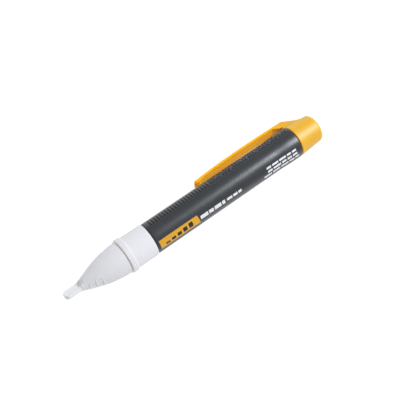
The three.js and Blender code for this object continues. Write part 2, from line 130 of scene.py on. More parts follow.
def rounded(points, steps=5):
    """Profile points (x, r, fillet) -> list of (x, r) with each corner rounded."""
    out = []
    n = len(points)
    for i, p in enumerate(points):
        f = p[2] if len(p) > 2 else 0
        if f <= 0 or i in (0, n - 1):
            out.append((p[0], p[1]))
            continue
        a = np.array(points[i - 1][:2], float) - p[:2]
        b = np.array(points[i + 1][:2], float) - p[:2]
        la, lb = np.hypot(*a), np.hypot(*b)
        a, b = a / la, b / lb
        half = math.acos(np.clip(a @ b, -1, 1)) / 2
        if half > math.radians(89):
            out.append((p[0], p[1]))
            continue
        t = min(f / math.tan(half), la * 0.48, lb * 0.48)
        r = t * math.tan(half)
        c = np.array(p[:2]) + (a + b) / np.hypot(*(a + b)) * (r / math.sin(half))
        s0, s1 = np.array(p[:2]) + a * t, np.array(p[:2]) + b * t
        t0, t1 = math.atan2(*(s0 - c)[::-1]), math.atan2(*(s1 - c)[::-1])
        d = (t1 - t0 + math.pi) % (2 * math.pi) - math.pi
        for k in range(steps + 1):
            q = t0 + d * k / steps
            out.append((c[0] + r * math.cos(q), c[1] + r * math.sin(q)))
    return out


def densify(profile, step):
    out = [profile[0]]
    for p, q in zip(profile, profile[1:]):
        L = math.hypot(q[0] - p[0], q[1] - p[1])
        k = max(1, int(math.ceil(L / step)))
        for i in range(1, k + 1):
            out.append((p[0] + (q[0] - p[0]) * i / k, p[1] + (q[1] - p[1]) * i / k))
    return out


def lathe(name, profile, seg=160, closed=False, radius=None, sharp=40, step=None):
    """profile of (x, r). It starts and ends on the axis (poles), or closes on itself."""
    if step:
        profile = densify(profile, step)
    th = np.arange(seg) / seg * 360.0
    body = list(profile)
    sp = ep = None
    if not closed:
        if body[0][1] < 1e-9:
            sp = W([body[0][0], 0, 0]); body = body[1:]
        if body[-1][1] < 1e-9:
            ep = W([body[-1][0], 0, 0]); body = body[:-1]
    elif math.hypot(body[0][0] - body[-1][0], body[0][1] - body[-1][1]) < 1e-9:
        body = body[:-1]
    rings = []
    for x, r in body:
        rr = radius(x, r, th) if radius else np.full(seg, r)
        y, z = yz(th, rr)
        rings.append(W(np.stack([np.full(seg, x), y, z], 1)))
    return ring_mesh(name, rings, sp, ep, loop=closed, sharp=sharp)


def slab_on(name, outline, radius, height, sink=0.05, sub=0.6):
    """Closed thin plate bent round the pen. outline: (x mm, angle deg) corners of a convex cell, split into a grid.
    outline is ((x0, a0), (x1, a0b), (x1, a1b), (x0b, a1)); radius(x) gives the surface."""
    (xa, aa), (xb, ab), (xc, ac), (xd, ad) = outline
    L = max(abs(xb - xa), abs(xc - xd), 0.1)
    H = max(abs(ad - aa), abs(ac - ab), 0.1) * math.pi / 180 * radius((xa + xb) / 2)
    nu, nv = max(1, int(math.ceil(L / sub))), max(1, int(math.ceil(H / sub)))
    top, bot = [], []
    for j in range(nv + 1):
        for i in range(nu + 1):
            u, v = i / nu, j / nv
            x = (1 - v) * ((1 - u) * xa + u * xb) + v * ((1 - u) * xd + u * xc)
            a = (1 - v) * ((1 - u) * aa + u * ab) + v * ((1 - u) * ad + u * ac)
            r = radius(x)
            y, z = yz(a, r + height)
            top.append((x, y, z))
            y, z = yz(a, r - sink)
            bot.append((x, y, z))
    n = len(top)
    faces = []
    idx = lambda i, j: j * (nu + 1) + i
    for j in range(nv):
        for i in range(nu):
            f = (idx(i, j), idx(i + 1, j), idx(i + 1, j + 1), idx(i, j + 1))
            faces.append(f)
            faces.append(tuple(n + k for k in reversed(f)))
    edge = [idx(i, 0) for i in range(nu)] + [idx(nu, j) for j in range(nv)] + [idx(i, nv) for i in range(nu, 0, -1)] + [idx(0, j) for j in range(nv, 0, -1)]
    for k, a in enumerate(edge):
        b = edge[(k + 1) % len(edge)]
        faces.append((b, a, n + a, n + b))
    return top + bot, faces


def join_parts(name, parts, sharp=30):
    verts, faces = [], []
    for v, f in parts:
        o = len(verts)
        verts += list(v)
        faces += [tuple(i + o for i in q) for q in f]
    return fix_normals(make_mesh(name, W(verts), faces, sharp=sharp))


def tube_mesh(name, path, radius, seg=14, closed_ends=True, sharp=60):
    """Round wire along a list of points in millimetres (pen coordinates)."""
    P = np.asarray(path, float)
    T = np.gradient(P, axis=0)
    T /= np.linalg.norm(T, axis=1)[:, None]
    ref = np.array([0.0, 0.0, 1.0]) if abs(T[0][2]) < 0.9 else np.array([0.0, 1.0, 0.0])
    N = np.cross(T[0], ref); N /= np.linalg.norm(N)
    rings = []
    for p, t in zip(P, T):
        N = N - t * (N @ t); N /= np.linalg.norm(N)
        B = np.cross(t, N)
        a = np.arange(seg) / seg * 2 * np.pi
        rings.append(W(p + radius * (np.cos(a)[:, None] * N + np.sin(a)[:, None] * B)))
    return ring_mesh(name, rings, W(P[0] - T[0] * radius * 0.35), W(P[-1] + T[-1] * radius * 0.35), sharp=sharp)


# ------------------------------------------------------------------ camera
F_PX = 800.5
TILT, ROLL = math.radians(16.93), math.radians(34.03)
T_CAM = np.array([-24.04, 18.17, 374.19])
SPIN = -0.002                                            # small turn of the picture about its centre
EPS = math.radians(0.0)
a_ = np.array([math.cos(TILT) * math.cos(ROLL), -math.cos(TILT) * math.sin(ROLL), math.sin(TILT)])
n2 = np.array([math.sin(ROLL), math.cos(ROLL), 0.0])
n1 = -np.cross(a_, n2)
e1 = np.array([0, math.sin(EPS), math.cos(EPS)])
e2 = np.cross([1.0, 0, 0], e1)
R = np.outer(a_, [1, 0, 0]) + np.outer(n1, e1) + np.outer(n2, e2)    # row -> camera (x right, y down, z forward)
turn = np.array([[math.cos(SPIN), -math.sin(SPIN), 0], [math.sin(SPIN), math.cos(SPIN), 0], [0, 0, 1]])
R, T_CAM = turn @ R, turn @ T_CAM + np.array([0.2337, 0.2337, 0.0])
loc = W(R.T @ (-T_CAM))
right, down, fwd = R.T @ [1, 0, 0], R.T @ [0, 1, 0], R.T @ [0, 0, 1]
cam_data = bpy.data.cameras.new("camera")
cam_data.sensor_width = 36
cam_data.lens = F_PX / 400 * 36
cam_data.clip_start = 0.01
cam_data.clip_end = 20
cam = bpy.data.objects.new("camera", cam_data)
M = Matrix.Identity(4)
for i in range(3):
    M[i][0], M[i][1], M[i][2], M[i][3] = right[i], -down[i], -fwd[i], loc[i]
cam.matrix_world = M
bpy.context.scene.collection.objects.link(cam)
bpy.context.scene.camera = cam


# ------------------------------------------------------------------ materials
def srgb(h):
    c = [int(h[i:i + 2], 16) / 255 for i in (1, 3, 5)]
    return tuple((v / 12.92 if v <= 0.04045 else ((v + 0.055) / 1.055) ** 2.4) for v in c) + (1.0,)


class Mat:
    def __init__(self, name):
        self.m = bpy.data.materials.new(name)
        self.m.use_nodes = True
        self.t = self.m.node_tree
        self.b = next(n for n in self.t.nodes if n.type == "BSDF_PRINCIPLED")
        self.co = self.t.nodes.new("ShaderNodeTexCoord").outputs["Object"]

    def node(self, kind, **kw):
        n = self.t.nodes.new(kind)
        for k, v in kw.items():
            if k in n.inputs:
                n.inputs[k].default_value = v
            else:
                setattr(n, k, v)
        return n

    def link(self, a, b):
        self.t.links.new(a, b)

    def mapped(self, scale=(1, 1, 1), rot=(0, 0, 0)):
        n = self.node("ShaderNodeMapping")
        n.inputs["Scale"].default_value = scale
        n.inputs["Rotation"].default_value = rot
        self.link(self.co, n.inputs["Vector"])
        return n.outputs[0]

    def noise(self, scale, detail=2, rough=0.5, vec=None, distortion=0.0):
        n = self.node("ShaderNodeTexNoise")
        n.inputs["Scale"].default_value = scale
        n.inputs["Detail"].default_value = detail
        n.inputs["Roughness"].default_value = rough
        n.inputs["Distortion"].default_value = distortion
        self.link(vec if vec is not None else self.co, n.inputs["Vector"])
        return n.outputs["Fac"]

    def ramp(self, fac, stops):
        n = self.node("ShaderNodeValToRGB")
        el = n.color_ramp.elements
        while len(el) < len(stops):
            el.new(0.5)
        for e, (p, c) in zip(el, stops):
            e.position = p
            e.color = c if len(c) == 4 else (*c, 1)
        self.link(fac, n.inputs[0])
        return n.outputs[0]

    def range(self, fac, lo, hi, a=0.0, b=1.0):
        n = self.node("ShaderNodeMapRange")
        n.inputs["From Min"].default_value = a
        n.inputs["From Max"].default_value = b
        n.inputs["To Min"].default_value = lo
        n.inputs["To Max"].default_value = hi
        self.link(fac, n.inputs["Value"])
        return n.outputs[0]

    def mix(self, fac, a, b):
        n = self.node("ShaderNodeMix", data_type="RGBA")
        for s, v in (("Factor", fac), ("A", a), ("B", b)):
            sock = [i for i in n.inputs if i.name == s and (s == "Factor" and i.type == "VALUE" or s != "Factor" and i.type == "RGBA")][0]
            if hasattr(v, "is_linked") or hasattr(v, "node"):
                self.link(v, sock)
            else:
                sock.default_value = v
        return [o for o in n.outputs if o.type == "RGBA"][0]

    def bump(self, height, distance, strength=1.0, normal=None):
        n = self.node("ShaderNodeBump")
        n.inputs["Strength"].default_value = strength
        n.inputs["Distance"].default_value = distance
        self.link(height, n.inputs["Height"])
        if normal is not None:
            self.link(normal, n.inputs["Normal"])
        return n.outputs[0]

    def set(self, **kw):
        for k, v in kw.items():
            name = k.replace("_", " ")
            sock = self.b.inputs[name]
            if hasattr(v, "node"):
                self.link(v, sock)
            else:
                sock.default_value = v
        return self


def edge_wear(mat):
    """Pointiness from Geometry; not called anywhere in this script."""
    g = mat.node("ShaderNodeNewGeometry")
    return g.outputs["Pointiness"]


# white nose moulding: satin
white = Mat("white_moulding")
big = white.noise(90, 3, 0.55)
fine = white.noise(2600, 2, 0.6)
col = white.ramp(big, [(0.3, srgb("#EBEAEC")), (0.7, srgb("#F0EFF1"))])
wsep = white.node("ShaderNodeSeparateXYZ")
white.link(white.co, wsep.inputs[0])
seam_shade_a = white.range(wsep.outputs["X"], 0.0, 1.0, float(W([-15.5, 0, 0])[0]), float(W([-15.1, 0, 0])[0]))
seam_shade_b = white.range(wsep.outputs["X"], 1.0, 0.0, float(W([-14.95, 0, 0])[0]), float(W([-14.8, 0, 0])[0]))
seam_shade_col = white.mix(seam_shade_b, col, white.ramp(big, [(0.3, srgb("#ECDFD4")), (0.7, srgb("#F0E4DA"))]))
col = white.mix(seam_shade_a, col, seam_shade_col)                          # painted shade: a warm, slightly darker tint in the seam in front of the ring, standing in for the shadow the ring casts there
flank_shade_a = white.range(wsep.outputs["X"], 0.0, 1.0, float(W([-12.9, 0, 0])[0]), float(W([-12.4, 0, 0])[0]))
flank_shade_b = white.range(wsep.outputs["X"], 1.0, 0.0, float(W([-11.7, 0, 0])[0]), float(W([-11.3, 0, 0])[0]))
col = white.mix(flank_shade_a, col, white.mix(flank_shade_b, col, srgb("#E5E4E6")))  # painted shade: the ring's rear flank a little greyer, toning down the key light's highlight there
blade = white.range(wsep.outputs["X"], 1.0, 0.0, float(W([-38.8, 0, 0])[0]), float(W([-36.2, 0, 0])[0]))
col = white.mix(blade, col, srgb("#F5F5F7"))                  # painted light: the thin blade painted paler, standing in for light passing through it
white.set(Base_Color=col, Roughness=white.range(fine, 0.50, 0.62), Subsurface_Weight=0.0, IOR=1.5, Specular_IOR_Level=0.3)
white.b.inputs["Subsurface Radius"].default_value = (1.0, 1.0, 1.0)
white.link(white.bump(fine, 0.000008, 0.5, white.bump(big, 0.00004, 0.35)), white.b.inputs["Normal"])


# the same moulding for the thin raised lines on it, painted a little paler: painted light standing in for the light a
# thicker moulding would scatter
white_line = Mat("white_raised_line")
big = white_line.noise(90, 3, 0.55)
fine = white_line.noise(2600, 2, 0.6)
white_line.set(Base_Color=white_line.ramp(big, [(0.3, srgb("#EFEEEF")), (0.7, srgb("#F5F4F5"))]), Roughness=white_line.range(fine, 0.36, 0.48))
white_line.link(white_line.bump(fine, 0.000008, 0.5), white_line.b.inputs["Normal"])

# dark barrel: satin charcoal with a fine spark texture
dark = Mat("charcoal_satin")
fine = dark.noise(3200, 2, 0.65)
mid = dark.noise(420, 3, 0.6, dark.mapped((0.45, 1, 1)))
spark = dark.noise(1150, 2, 0.5)
big = dark.noise(60, 3, 0.5)
col = dark.mix(dark.range(fine, 0.0, 1.0, 0.35, 0.68), srgb("#2D3033"), srgb("#373A3E"))
col = dark.mix(dark.range(big, 0.0, 0.35), col, srgb("#33363A"))
dark.set(Base_Color=col, Roughness=dark.range(mid, 0.31, 0.38, 0.3, 0.7), IOR=1.5, Specular_IOR_Level=0.65)
dark.link(dark.bump(fine, 0.000012, 0.6, dark.bump(spark, 0.00003, 0.6, dark.bump(mid, 0.00003, 0.5))), dark.b.inputs["Normal"])

# yellow cap and clip: semi-gloss, faint flow marks and sinks
yellow = Mat("yellow_moulding")
fine = yellow.noise(2200, 2, 0.6)
big = yellow.noise(130, 3, 0.55, yellow.mapped((0.6, 1, 1)))
col = yellow.mix(yellow.range(big, 0.0, 1.0, 0.35, 0.7), srgb("#E4AA12"), srgb("#E8B118"))
mid = yellow.noise(330, 3, 0.55)
sep = yellow.node("ShaderNodeSeparateXYZ")
yellow.link(yellow.co, sep.inputs[0])
# painted light: the clip arm gets a deeper orange base and a faint orange emission, standing in for light scattered
# through and bounced inside the clip
arm_glow_mask = yellow.range(sep.outputs["X"], 1.0, 0.0, float(W([85.5, 0, 0])[0]), float(W([89, 0, 0])[0]))
arm_glow_base = yellow.mix(yellow.range(big, 0.0, 1.0, 0.35, 0.7), srgb("#F8AE0A"), srgb("#FBB410"))
yellow.set(Base_Color=yellow.mix(arm_glow_mask, col, arm_glow_base), Roughness=yellow.range(fine, 0.43, 0.51), IOR=1.5, Specular_IOR_Level=yellow.range(sep.outputs["X"], 0.1, 0.8, float(W([84, 0, 0])[0]), float(W([89, 0, 0])[0])), Subsurface_Weight=0.0,
           Emission_Color=(1.0, 0.36, 0.012, 1), Emission_Strength=yellow.range(arm_glow_mask, 0.0, 0.2))
yellow.b.inputs["Subsurface Radius"].default_value = (1.0, 0.7, 0.12)
yellow.link(yellow.bump(fine, 0.000004, 0.2, yellow.bump(mid, 0.00014, 0.5, yellow.bump(big, 0.0002, 0.5))), yellow.b.inputs["Normal"])

# printed inks
def ink(name, a, b, rough):
    k = Mat(name)
    f = k.noise(1500, 3, 0.6)
    k.set(Base_Color=k.mix(k.range(f, 0, 1, 0.3, 0.7), srgb(a), srgb(b)), Roughness=k.range(f, rough, rough + 0.12))
    k.link(k.bump(f, 0.00001, 0.4), k.b.inputs["Normal"])
    return k
ink_white = ink("ink_white", "#E4E5E8", "#F4F5F7", 0.4)
ink_yellow = ink("ink_yellow", "#E2A21E", "#EDB02C", 0.35)
ink_black = ink("ink_black", "#18191B", "#232427", 0.5)
ink_matt = ink("ink_matt_black", "#15120E", "#1F1C18", 0.7)

def metal(name, base, alt, rough, brush=(1, 1, 1), scale=900, aniso=0.0):
    k = Mat(name)
    f = k.noise(scale, 3, 0.6, k.mapped(brush))
    g = k.noise(140, 3, 0.6)
    col = k.mix(k.range(g, 0, 1, 0.3, 0.7), srgb(base), srgb(alt))
    k.set(Base_Color=col, Metallic=1.0, Roughness=k.range(f, rough - 0.07, rough + 0.1), Anisotropic=aniso)
    k.link(k.bump(f, 0.000012, 0.5), k.b.inputs["Normal"])
    return k
nickel = metal("nickel_plate", "#C9CBCD", "#BFC2C5", 0.24)
tin = metal("tinned_wire", "#CDCFD1", "#B7BABD", 0.3)
copper = metal("copper_strip", "#C4794A", "#B56A3E", 0.3, brush=(0.1, 1, 1))
steel = metal("cell_steel", "#C2C4C7", "#D0D2D4", 0.22, brush=(0.2, 1, 1))
alu = metal("drawn_aluminium", "#B9BCC0", "#C9CCCF", 0.28, brush=(1, 1, 0.2))

def plastic(name, a, b, rough, scale=1200, bump=0.00001, **kw):
    k = Mat(name)
    f = k.noise(scale, 3, 0.6)
    g = k.noise(120, 2, 0.5)
    k.set(Base_Color=k.mix(k.range(g, 0, 1, 0.3, 0.7), srgb(a), srgb(b)), Roughness=k.range(f, rough - 0.06, rough + 0.08), **kw)
    k.link(k.bump(f, bump, 0.6), k.b.inputs["Normal"])
    return k
carrier = plastic("carrier_black", "#232527", "#2B2D30", 0.5)
epoxy = plastic("chip_epoxy", "#151617", "#1F2022", 0.55, 2600, 0.00002)
lacquer = plastic("resistor_lacquer", "#CDB88A", "#C2AA78", 0.4)
lamp = plastic("lamp_epoxy", "#D8342A", "#C9261E", 0.12, 300, 0.000004, Transmission_Weight=0.35, IOR=1.5)
jacket = plastic("cell_film", "#39465A", "#435267", 0.26, 700, 0.00001)
jacket_light = plastic("cell_film_band", "#B98C3C", "#C79A48", 0.24, 700, 0.00001)
# board laminate: solder mask with woven glass below
board = Mat("solder_mask")
wv = board.node("ShaderNodeTexWave", wave_type="BANDS", bands_direction="X")
wv.inputs["Scale"].default_value = 900
board.link(board.co, wv.inputs["Vector"])
g = board.noise(500, 3, 0.6)
board.set(Base_Color=board.mix(board.range(g, 0, 1, 0.3, 0.7), srgb("#1C5C36"), srgb("#2A7445")), Roughness=board.range(g, 0.25, 0.4), Coat_Weight=0.3)
board.link(board.bump(wv.outputs["Fac"], 0.000008, 0.4), board.b.inputs["Normal"])


def paint(ob, mat):
    ob.data.materials.clear()
    ob.data.materials.append(mat.m)
    return ob


# CAD nodes that stay: each gets its own finish, and softened edges
keep = {
    "circuit_board": (board, 0.05), "board_carrier": (carrier, 0.1), "antenna_plate": (copper, 0.03), "antenna_lead": (copper, 0),
    "indicator_lamp": (lamp, 0), "lamp_lead_a": (tin, 0.05), "lamp_lead_b": (tin, 0.05), "detector_chip": (epoxy, 0.05),
    "lamp_driver": (epoxy, 0.08), "sense_resistor": (lacquer, 0), "lamp_resistor": (epoxy, 0.06), "filter_capacitor": (alu, 0.12),
    "front_contact": (nickel, 0.04), "return_strip": (nickel, 0.04), "spring_plate": (nickel, 0.06),
}
for name, (mat, bev) in keep.items():
    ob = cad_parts[name]
    if ob.data.materials:
        for i in range(len(ob.data.materials)):
            ob.data.materials[i] = mat.m
    else:
        ob.data.materials.append(mat.m)
    if bev:
        md = ob.modifiers.new("edge", "BEVEL")
        md.width = bev * MM
        md.segments = 2
        md.limit_method = "ANGLE"
        md.angle_limit = math.radians(40)
        md.harden_normals = False


# ------------------------------------------------------------------ nose
BLADE = 50.0                      # blade normal, degrees from +Z toward +Y
TIP = -47.15
og_x = np.array([-36.3, -35.8, -34.2, -32.8, -31.3, -29.9, -28.4, -27.0, -25.5, -24.1, -22.6, -21.2, -19.7, -18.3, -16.8, -15.6])
og_r = np.array([3.42, 3.55, 4.12, 4.6, 5.14, 5.62, 6.08, 6.47, 6.84, 7.12, 7.38, 7.6, 7.79, 7.95, 8.1, 8.19])


def cubic(x, xs, ys):
    """Monotone cubic through points (Fritsch-Carlson)."""
    x = np.asarray(x, float)
    h = np.diff(xs); d = np.diff(ys) / h
    m = np.zeros(len(xs))
    m[1:-1] = np.where(d[:-1] * d[1:] > 0, 2 * d[:-1] * d[1:] / (d[:-1] + d[1:] + 1e-12), 0)
    m[0], m[-1] = d[0], d[-1]
    i = np.clip(np.searchsorted(xs, x) - 1, 0, len(xs) - 2)
    t = np.clip((x - xs[i]) / h[i], 0, 1)
    return ((2 * t**3 - 3 * t**2 + 1) * ys[i] + (t**3 - 2 * t**2 + t) * h[i] * m[i] + (-2 * t**3 + 3 * t**2) * ys[i + 1] + (t**3 - t**2) * h[i] * m[i + 1])


def sstep(a, b, x):
    t = np.clip((np.asarray(x, float) - a) / (b - a), 0, 1)
    return t * t * (3 - 2 * t)


def nose_radius(x):
    return float(cubic(x, og_x, og_r))


def nose_section(x, alpha):
    """Outer surface of blade, root and ogive at x for polar angle alpha (0 = blade's wide direction)."""
    if x <= -36.3:
        A = float(cubic(x, np.array([-39.6, -38.9, -37.9, -37.0, -36.3]), np.array([2.25, 2.34, 2.80, 3.16, 3.42]))) if x > -39.6 else 2.25
        B = float(cubic(x, np.array([-40.2, -39.2, -38.2, -37.2, -36.3]), np.array([1.1, 1.32, 2.0, 2.85, 3.42]))) if x > -40.2 else 1.1
        e = 11.0 + (2.0 - 11.0) * float(sstep(-40.6, -37.2, x))
    else:
        A = B = nose_radius(x)
        e = 2.0
    if x < TIP + 2.25:                         # rounded end seen from the flat side
        q = (TIP + 2.25 - x) / 2.25
        A = 2.25 * math.sqrt(max(1 - q * q, 1e-6))
    if x < TIP + 0.45:                         # eased edge seen from the side
        q = (TIP + 0.45 - x) / 0.45
        B = 0.6 + 0.5 * math.sqrt(max(1 - q * q, 0.0))
        B *= 0.15 + 0.85 * math.sqrt(max(1 - q ** 4, 0.0))
    c, s = np.cos(alpha), np.sin(alpha)
    r = (np.abs(c / A) ** e + np.abs(s / B) ** e) ** (-1 / e)
    # moulded crease between blade root and ogive
    r = r - 0.10 * np.exp(-((x + 36.1) / 0.16) ** 2)
    yy, zz = r * c, r * s
    az = np.abs(zz)
    # shallow recess on both broad faces
    dx = np.where(x < TIP + 2.5, np.hypot(x - TIP - 2.5, yy) - 1.5, np.abs(yy) - 1.5)
    inside = sstep(0.15, -0.75, dx) * float(sstep(-37.2, -38.9, x))
    az = np.where(az > 0.5, az + (np.minimum(az, 0.97) - az) * inside, az)
    # deeper pocket at the root
    fx = x + 39.1
    if x < -39.1:
        dp = np.hypot(fx, np.maximum(np.abs(yy) - 0.3, 0)) - 1.1
    else:
        dp = np.abs(yy) - 1.4
    pocket = 0.55 * sstep(0.1, -0.6, dp) * float(sstep(-36.8, -37.6, x))
    az = np.where(az > 0.4, az + (np.maximum(np.minimum(az, 0.9), az - 0.22) - az) * pocket, az)
    return yy, np.sign(zz) * az


M_N = 168
alpha = np.arange(M_N) / M_N * 2 * np.pi
# crowd the samples toward the blade's corners
alpha = alpha + 0.22 * np.sin(2 * alpha) * -1
xs = np.concatenate([
    TIP + 2.25 * (1 - np.cos(np.linspace(0.10, math.pi / 2, 20))),
    np.linspace(TIP + 2.4, -40.5, 18), np.linspace(-40.4, -37.5, 42), np.linspace(-37.42, -35.7, 30),
    np.linspace(-35.4, -16.1, 58), [-15.95, -15.8, -15.7],
])
xs = np.unique(np.round(xs, 4))
ez = np.array(yz(BLADE, 1.0)); ey = np.array(yz(BLADE - 90, 1.0))
rings = []
for x in xs:
    a_y, a_z = nose_section(float(x), alpha)
    yzp = a_y[:, None] * ey + a_z[:, None] * ez
    rings.append(W(np.column_stack([np.full(M_N, x), yzp])))
def circle_ring(x, r):
    p = (r * np.cos(alpha))[:, None] * ey + (r * np.sin(alpha))[:, None] * ez
    return W(np.column_stack([np.full(M_N, x), p]))
tail = rounded([(-15.45, 8.21, 0), (-14.97, 8.24, 0.05), (-14.97, 6.6, 0.15), (-10.5, 6.6, 0.2), (-10.3, 6.45, 0.1), (-10.3, 6.05, 0.1), (-21.2, 6.05, 1.0), (-24.1, 5.85, 0.5),
                (-27.0, 5.2, 0.5), (-29.9, 4.35, 0.5), (-32.8, 3.3, 0.4), (-34.4, 2.6, 0.3), (-34.4, 0.6, 0)], 3)[1:]
rings += [circle_ring(x, r) for x, r in tail]
tip_pole = W([TIP, 0, 0])
nose = ring_mesh("nose_tip_shell", rings, tip_pole, W([-34.4, 0, 0]), sharp=50)
paint(nose, white)
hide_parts("nose_tip")
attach(nose, "housing")

# raised plain frame beside the parting line: generic, no symbol
def ribbon(path, width, height, radius, base=BLADE - 90, sink=0.08, closed=True):
    """Raised rounded line on the pen's surface. path: (x mm, arc mm from the base direction)."""
    P = np.asarray(path, float)
    n = len(P)
    prof = [(-0.5, -sink), (-0.46, height * 0.45), (-0.3, height * 0.9), (0, height), (0.3, height * 0.9), (0.46, height * 0.45), (0.5, -sink)]
    rings = []
    for i in range(n):
        a, b = (P[i - 1], P[(i + 1) % n]) if closed else (P[max(i - 1, 0)], P[min(i + 1, n - 1)])
        t = (b - a) / (np.hypot(*(b - a)) + 1e-12)
        nrm = np.array([-t[1], t[0]])
        ring = []
        for s, h in prof:
            q = P[i] + nrm * s * width
            r = radius(q[0])
            y, z = yz(base + math.degrees(q[1] / r), r + h)
            ring.append((q[0], y, z))
        rings.append(ring)
    m = len(prof)
    verts = [v for ring in rings for v in ring]
    faces = []
    for i in range(n if closed else n - 1):
        for j in range(m):
            k = (j + 1) % m
            faces.append((i * m + j, i * m + k, ((i + 1) % n) * m + k, ((i + 1) % n) * m + j))
    if not closed:
        faces.append(tuple(range(m)))
        faces.append(tuple((n - 1) * m + j for j in reversed(range(m))))
    return verts, faces


def loop_points(corners, r, step=0.25):
    pts = rounded([corners[-1] + (0,)] + [c + (r,) for c in corners] + [corners[0] + (0,)], 5)[1:-1]
    out = []
    for p, q in zip(pts, pts[1:] + pts[:1]):
        L = math.hypot(q[0] - p[0], q[1] - p[1])
        k = max(1, int(L / step))
        out += [(p[0] + (q[0] - p[0]) * i / k, p[1] + (q[1] - p[1]) * i / k) for i in range(k)]
    return out


mark = join_parts("moulded_frame", [
    ribbon(loop_points([(-35.0, -0.9), (-32.2, -1.9), (-32.2, 2.0), (-35.0, 1.0)], 0.3), 0.4, 0.2, nose_radius),
    ribbon(loop_points([(-31.8, -2.1), (-29.0, -2.3), (-29.0, 2.4), (-31.8, 2.2)], 0.3), 0.4, 0.2, nose_radius),
], sharp=60)
paint(mark, white_line)
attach(mark, "housing")

# collar with the stop ring
collar_profile = rounded([
    (-14.9, 6.9, 0), (-14.9, 8.9, 0.62), (-12.15, 8.9, 1.0), (-11.7, 8.35, 0.25), (-0.15, 8.26, 0.28), (-0.15, 6.9, 0.05), (-0.15, 6.3, 0.05),
    (5.6, 6.3, 0.3), (5.6, 5.6, 0.1), (-1.5, 5.6, 0.1), (-1.5, 6.9, 0.1), (-14.9, 6.9, 0)], 6)
def collar_r(x, r, th):
    d = (th - (BLADE - 90) + 180) % 360 - 180                 # from the parting line
    arc = np.radians(d) * r
    out = np.full(len(th), r, float)
    if r > 8.0 and x < -11.8:
        slot_ = np.exp(-(arc / 0.24) ** 2)
        out = out - 0.34 * slot_ * (1 if r > 8.5 else 0.4)
    if r > 8.0 and -13.2 < x < -9.0:
        out = out + 0.05 * np.exp(-((arc - 0.1) / 0.12) ** 2) * float(sstep(-9.0, -11.5, x))
    return out
collar = lathe("nose_collar_shell", densify(collar_profile, 0.9), seg=320, closed=True, radius=collar_r, sharp=50)
paint(collar, white)
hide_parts("nose_collar")
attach(collar, "housing")
# small moulded nub beside the slot
nv, nf = slab_on("nub", ((-13.9, BLADE - 90 - 3.6), (-12.9, BLADE - 90 - 3.6), (-12.9, BLADE - 90 - 8.4), (-13.9, BLADE - 90 - 8.4)), lambda x: 8.9, -0.0, 0.1, 0.3)
nub = join_parts("ring_nub", [(nv, nf)])
md = nub.modifiers.new("edge", "BEVEL"); md.width = 0.09 * MM; md.segments = 3; md.limit_method = "ANGLE"
paint(nub, white_line)
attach(nub, "housing")


# ------------------------------------------------------------------ barrel
def barrel_radius(x):
    return 7.96 + 0.28 * float(sstep(74.0, 83.0, x))


bp = [(0.15, 6.6, 0), (0.15, 7.6, 0.12), (0.62, 7.6, 0.06), (0.66, 7.96, 0.3), (73.0, 7.96, 0)]
bp += [(x, barrel_radius(x), 0) for x in np.linspace(74, 83, 12)]
bp += [(87.95, 8.24, 0.35), (87.95, 6.8, 0.15), (94.6, 6.8, 0.4), (94.6, 5.6, 0.15), (86.2, 5.6, 0.1), (86.2, 6.6, 0.1), (6.4, 6.6, 0), (0.15, 6.6, 0)]
bprof = densify(rounded(bp, 6), 3.0)


def bore_r(x, r, th):
    if r > 6.61 or x < 6.2 or x > 86.1 or r < 5.7:
        return np.full(len(th), r)
    out = np.full(len(th), r, float)
    for a in (30, 110, 290):
        d = np.abs((th - a + 180) % 360 - 180)
        out = np.where(d < 5.6, 5.6, out)
    return out


barrel = lathe("barrel_shell", bprof, seg=224, closed=True, radius=bore_r, sharp=45)
paint(barrel, dark)
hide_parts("barrel")
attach(barrel, "housing")

# generic print: a badge with a plain scale, and rows of small blocks where words would be. No letters.
# Angles go from +Z toward +Y, so the camera side is near 0.
def blocks(name, rows, mat, height=0.022):
    """rows: x0, x1, angle of the top, angle of the base line, seed, block width lo, hi, gap, blocks per group. Plain upright rectangles."""
    parts = []
    for x0, x1, a0, a1, seed, lo, hi, gap, groups in rows:
        rng = np.random.default_rng(seed)
        x, k, gi = x0, 0, 0
        while x < x1 - lo * 0.5:
            w = min(float(rng.uniform(lo, hi)), x1 - x)
            parts.append(slab_on("b", ((x, a0), (x + w, a0), (x + w, a1), (x, a1)), barrel_radius, height, 0.05, 0.7))
            x += w + gap
            k += 1
            if k >= groups[gi % len(groups)]:
                x += gap * 1.5
                k, gi = 0, gi + 1
    ob = join_parts(name, parts)
    paint(ob, mat)
    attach(ob, "housing")
    return ob


def skew(x0, x1, a0, a1, lean=0.6):
    """Parallelogram cell: a0 is the edge nearer the top of the pen."""
    return ((x0, a0), (x1, a0), (x1 - lean, a1), (x0 - lean, a1))


parts = [slab_on("badge", ((1.55, -23.4), (23.6, -23.4), (24.4, -58.8), (1.75, -58.8)), barrel_radius, 0.03, 0.05, 0.6)]
badge = join_parts("badge_plate", parts)
paint(badge, ink_yellow)
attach(badge, "housing")
# a plain pattern on it: five rising bars, like a strength scale
kl = []
for i in range(5):
    x = 4.6 + 3.35 * i
    top = -44.5 + 3.4 * i
    kl.append(slab_on("k", ((x, top), (x + 2.3, top), (x + 2.3, -52.5), (x, -52.5)), lambda x: 7.99, 0.02, 0.03, 0.5))
kln = join_parts("badge_pattern", kl)
paint(kln, ink_black)
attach(kln, "housing")

